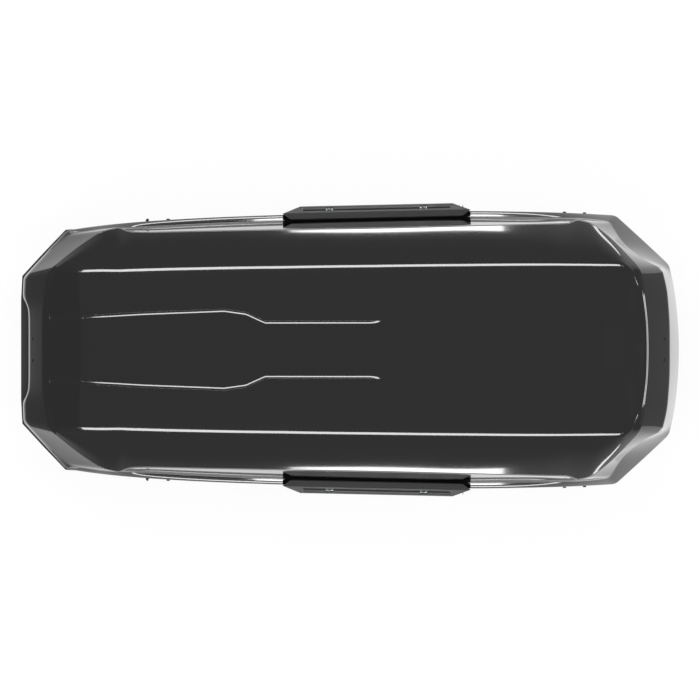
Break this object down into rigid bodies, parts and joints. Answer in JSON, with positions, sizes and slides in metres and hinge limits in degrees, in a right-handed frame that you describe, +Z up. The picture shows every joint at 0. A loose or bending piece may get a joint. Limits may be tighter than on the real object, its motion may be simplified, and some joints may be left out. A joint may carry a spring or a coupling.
{
  "type": "roof cargo box",
  "caption": "Roof cargo box with a tapered gloss lid that opens from either side, side pull handles, keyed locks and claw clamps for roof bars.",
  "frame": {"origin": "midway between the two roof bars and the two sides, on the plane where the box rests on the bars", "axes": "+X from nose to tail, +Y to the right side, +Z up"},
  "size_m": [2.101, 0.9352, 0.482],
  "materials": {
    "lid_abs": "gloss black thermoformed ABS with an acrylic cap",
    "base_abs": "grained black thermoformed ABS",
    "floor_steel": "zinc-plated steel strip",
    "pad_rubber": "EPDM rubber",
    "plated_steel": "zinc-plated steel",
    "spring_steel": "spring steel wire",
    "rail_aluminium": "black anodised extruded aluminium",
    "bracket_steel": "powder-coated steel",
    "stiffener_aluminium": "mill-finish aluminium",
    "boss_nylon": "moulded glass-filled nylon",
    "roller_acetal": "moulded white acetal",
    "lock_zinc": "nickel-plated zinc die casting",
    "handle_nylon": "moulded satin black nylon",
    "rivet_black": "black moulded rivet",
    "clamp_nylon": "moulded glass-filled nylon",
    "knob_nylon": "moulded grey nylon"
  },
  "bodies": {
    "base": {"base_tub": "base_abs", "left_floor_rail": "floor_steel", "right_floor_rail": "floor_steel", "bar_pads": "pad_rubber", "left_strikers": "plated_steel", "right_strikers": "plated_steel"},
    "left_rail": {"left_hinge_rail": "rail_aluminium", "left_rail_pins": "plated_steel", "left_lifter_mounts": "bracket_steel", "left_lifter_springs": "spring_steel"},
    "left_lifter": {"left_lifter_arms": "bracket_steel", "left_lifter_rollers": "roller_acetal"},
    "left_lock_bar": {"left_lock_bar": "plated_steel"},
    "left_lock_barrel": {"left_lock_barrel": "lock_zinc"},
    "left_handle_grip": {"left_handle_grip": "handle_nylon"},
    "right_rail": {"right_hinge_rail": "rail_aluminium", "right_rail_pins": "plated_steel", "right_lifter_mounts": "bracket_steel", "right_lifter_springs": "spring_steel"},
    "right_lifter": {"right_lifter_arms": "bracket_steel", "right_lifter_rollers": "roller_acetal"},
    "right_lock_bar": {"right_lock_bar": "plated_steel"},
    "right_lock_barrel": {"right_lock_barrel": "lock_zinc"},
    "right_handle_grip": {"right_handle_grip": "handle_nylon"},
    "lid": {"lid_shell": "lid_abs", "front_stiffener": "stiffener_aluminium", "centre_stiffener": "stiffener_aluminium", "rear_stiffener": "stiffener_aluminium", "nose_bracket": "bracket_steel", "tail_bracket": "bracket_steel", "lid_rivets": "rivet_black", "left_hinge_bosses": "boss_nylon", "left_slot_plates": "bracket_steel", "left_handle_housing": "handle_nylon", "left_handle_pin": "plated_steel", "left_handle_springs": "spring_steel", "left_lock_sleeve": "lock_zinc", "right_hinge_bosses": "boss_nylon", "right_slot_plates": "bracket_steel", "right_handle_housing": "handle_nylon", "right_handle_pin": "plated_steel", "right_handle_springs": "spring_steel", "right_lock_sleeve": "lock_zinc"},
    "front_left_clamp": {"front_left_clamp": "clamp_nylon"},
    "front_left_knob": {"front_left_knob": "knob_nylon"},
    "front_left_fore_claw": {"front_left_fore_claw": "clamp_nylon"},
    "front_left_aft_claw": {"front_left_aft_claw": "clamp_nylon"},
    "front_right_clamp": {"front_right_clamp": "clamp_nylon"},
    "front_right_knob": {"front_right_knob": "knob_nylon"},
    "front_right_fore_claw": {"front_right_fore_claw": "clamp_nylon"},
    "front_right_aft_claw": {"front_right_aft_claw": "clamp_nylon"},
    "rear_left_clamp": {"rear_left_clamp": "clamp_nylon"},
    "rear_left_knob": {"rear_left_knob": "knob_nylon"},
    "rear_left_fore_claw": {"rear_left_fore_claw": "clamp_nylon"},
    "rear_left_aft_claw": {"rear_left_aft_claw": "clamp_nylon"},
    "rear_right_clamp": {"rear_right_clamp": "clamp_nylon"},
    "rear_right_knob": {"rear_right_knob": "knob_nylon"},
    "rear_right_fore_claw": {"rear_right_fore_claw": "clamp_nylon"},
    "rear_right_aft_claw": {"rear_right_aft_claw": "clamp_nylon"}
  },
  "joints": [
    {"name": "lid_opens_from_right", "type": "hinge", "parent": "base", "child": "right_rail", "pos_m": [0, -0.396, 0.162], "axis": [1, 0, 0], "range_deg": [0, 48]},
    {"name": "lid_opens_from_left", "type": "hinge", "parent": "right_rail", "child": "lid", "pos_m": [0, 0.396, 0.162], "axis": [-1, 0, 0], "range_deg": [0, 48]},
    {"name": "left_rail_hinge", "type": "hinge", "parent": "lid", "child": "left_rail", "pos_m": [0, -0.396, 0.162], "axis": [1, 0, 0], "range_deg": [-48, 0]},
    {"name": "right_lifter_hinge", "type": "hinge", "parent": "right_rail", "child": "right_lifter", "pos_m": [0, 0.326, 0.188], "axis": [-1, 0, 0], "range_deg": [0, 96]},
    {"name": "right_key", "type": "hinge", "parent": "lid", "child": "right_lock_barrel", "pos_m": [0.34994, 0.44516, 0.162], "axis": [0.0217, -0.9998, 0], "range_deg": [0, 90]},
    {"name": "right_lock_slide", "type": "slide", "parent": "right_rail", "child": "right_lock_bar", "axis": [-1, 0, 0], "range_m": [0, 0.024]},
    {"name": "right_handle_pull", "type": "hinge", "parent": "lid", "child": "right_handle_grip", "pos_m": [0.08376, 0.4504, 0.185], "axis": [0.9998, 0.0217, 0], "range_deg": [0, 25], "stiffness_Nm_per_rad": 1.5, "springref_deg": -11.46},
    {"name": "left_lifter_hinge", "type": "hinge", "parent": "left_rail", "child": "left_lifter", "pos_m": [0, -0.326, 0.188], "axis": [1, 0, 0], "range_deg": [0, 96]},
    {"name": "left_key", "type": "hinge", "parent": "lid", "child": "left_lock_barrel", "pos_m": [0.34994, -0.44516, 0.162], "axis": [-0.0217, -0.9998, 0], "range_deg": [0, 90]},
    {"name": "left_lock_slide", "type": "slide", "parent": "left_rail", "child": "left_lock_bar", "axis": [-1, 0, 0], "range_m": [0, 0.024]},
    {"name": "left_handle_pull", "type": "hinge", "parent": "lid", "child": "left_handle_grip", "pos_m": [0.08376, -0.4504, 0.185], "axis": [-0.9998, 0.0217, 0], "range_deg": [0, 25], "stiffness_Nm_per_rad": 1.5, "springref_deg": -11.46},
    {"name": "front_left_clamp_slide", "type": "slide", "parent": "base", "child": "front_left_clamp", "axis": [1, 0, 0], "range_m": [-0.08, 0.08]},
    {"name": "front_left_knob_turn", "type": "hinge", "parent": "front_left_clamp", "child": "front_left_knob", "pos_m": [-0.35, -0.25, 0.0409], "axis": [0, 0, -1], "range_deg": [0, 1080]},
    {"name": "front_left_fore_claw_slide", "type": "slide", "parent": "front_left_clamp", "child": "front_left_fore_claw", "axis": [1, 0, 0], "range_m": [0, 0.022]},
    {"name": "front_left_aft_claw_slide", "type": "slide", "parent": "front_left_clamp", "child": "front_left_aft_claw", "axis": [-1, 0, 0], "range_m": [0, 0.022]},
    {"name": "front_right_clamp_slide", "type": "slide", "parent": "base", "child": "front_right_clamp", "axis": [1, 0, 0], "range_m": [-0.08, 0.08]},
    {"name": "front_right_knob_turn", "type": "hinge", "parent": "front_right_clamp", "child": "front_right_knob", "pos_m": [-0.35, 0.25, 0.0409], "axis": [0, 0, -1], "range_deg": [0, 1080]},
    {"name": "front_right_fore_claw_slide", "type": "slide", "parent": "front_right_clamp", "child": "front_right_fore_claw", "axis": [1, 0, 0], "range_m": [0, 0.022]},
    {"name": "front_right_aft_claw_slide", "type": "slide", "parent": "front_right_clamp", "child": "front_right_aft_claw", "axis": [-1, 0, 0], "range_m": [0, 0.022]},
    {"name": "rear_left_clamp_slide", "type": "slide", "parent": "base", "child": "rear_left_clamp", "axis": [1, 0, 0], "range_m": [-0.08, 0.08]},
    {"name": "rear_left_knob_turn", "type": "hinge", "parent": "rear_left_clamp", "child": "rear_left_knob", "pos_m": [0.35, -0.25, 0.0409], "axis": [0, 0, -1], "range_deg": [0, 1080]},
    {"name": "rear_left_fore_claw_slide", "type": "slide", "parent": "rear_left_clamp", "child": "rear_left_fore_claw", "axis": [1, 0, 0], "range_m": [0, 0.022]},
    {"name": "rear_left_aft_claw_slide", "type": "slide", "parent": "rear_left_clamp", "child": "rear_left_aft_claw", "axis": [-1, 0, 0], "range_m": [0, 0.022]},
    {"name": "rear_right_clamp_slide", "type": "slide", "parent": "base", "child": "rear_right_clamp", "axis": [1, 0, 0], "range_m": [-0.08, 0.08]},
    {"name": "rear_right_knob_turn", "type": "hinge", "parent": "rear_right_clamp", "child": "rear_right_knob", "pos_m": [0.35, 0.25, 0.0409], "axis": [0, 0, -1], "range_deg": [0, 1080]},
    {"name": "rear_right_fore_claw_slide", "type": "slide", "parent": "rear_right_clamp", "child": "rear_right_fore_claw", "axis": [1, 0, 0], "range_m": [0, 0.022]},
    {"name": "rear_right_aft_claw_slide", "type": "slide", "parent": "rear_right_clamp", "child": "rear_right_aft_claw", "axis": [-1, 0, 0], "range_m": [0, 0.022]}
  ],
  "couplings": [
    {"joint": "left_rail_hinge", "follows": "lid_opens_from_right", "ratio": -1},
    {"joint": "right_lifter_hinge", "follows": "lid_opens_from_left", "ratio": 2},
    {"joint": "right_key", "follows": "right_lock_slide", "rad_per_m": 65.449},
    {"joint": "left_lifter_hinge", "follows": "lid_opens_from_right", "ratio": 2},
    {"joint": "left_key", "follows": "left_lock_slide", "rad_per_m": 65.449},
    {"joint": "front_left_fore_claw_slide", "follows": "front_left_knob_turn", "m_per_rad": 0.0011671},
    {"joint": "front_left_aft_claw_slide", "follows": "front_left_knob_turn", "m_per_rad": 0.0011671},
    {"joint": "front_right_fore_claw_slide", "follows": "front_right_knob_turn", "m_per_rad": 0.0011671},
    {"joint": "front_right_aft_claw_slide", "follows": "front_right_knob_turn", "m_per_rad": 0.0011671},
    {"joint": "rear_left_fore_claw_slide", "follows": "rear_left_knob_turn", "m_per_rad": 0.0011671},
    {"joint": "rear_left_aft_claw_slide", "follows": "rear_left_knob_turn", "m_per_rad": 0.0011671},
    {"joint": "rear_right_fore_claw_slide", "follows": "rear_right_knob_turn", "m_per_rad": 0.0011671},
    {"joint": "rear_right_aft_claw_slide", "follows": "rear_right_knob_turn", "m_per_rad": 0.0011671}
  ]
}
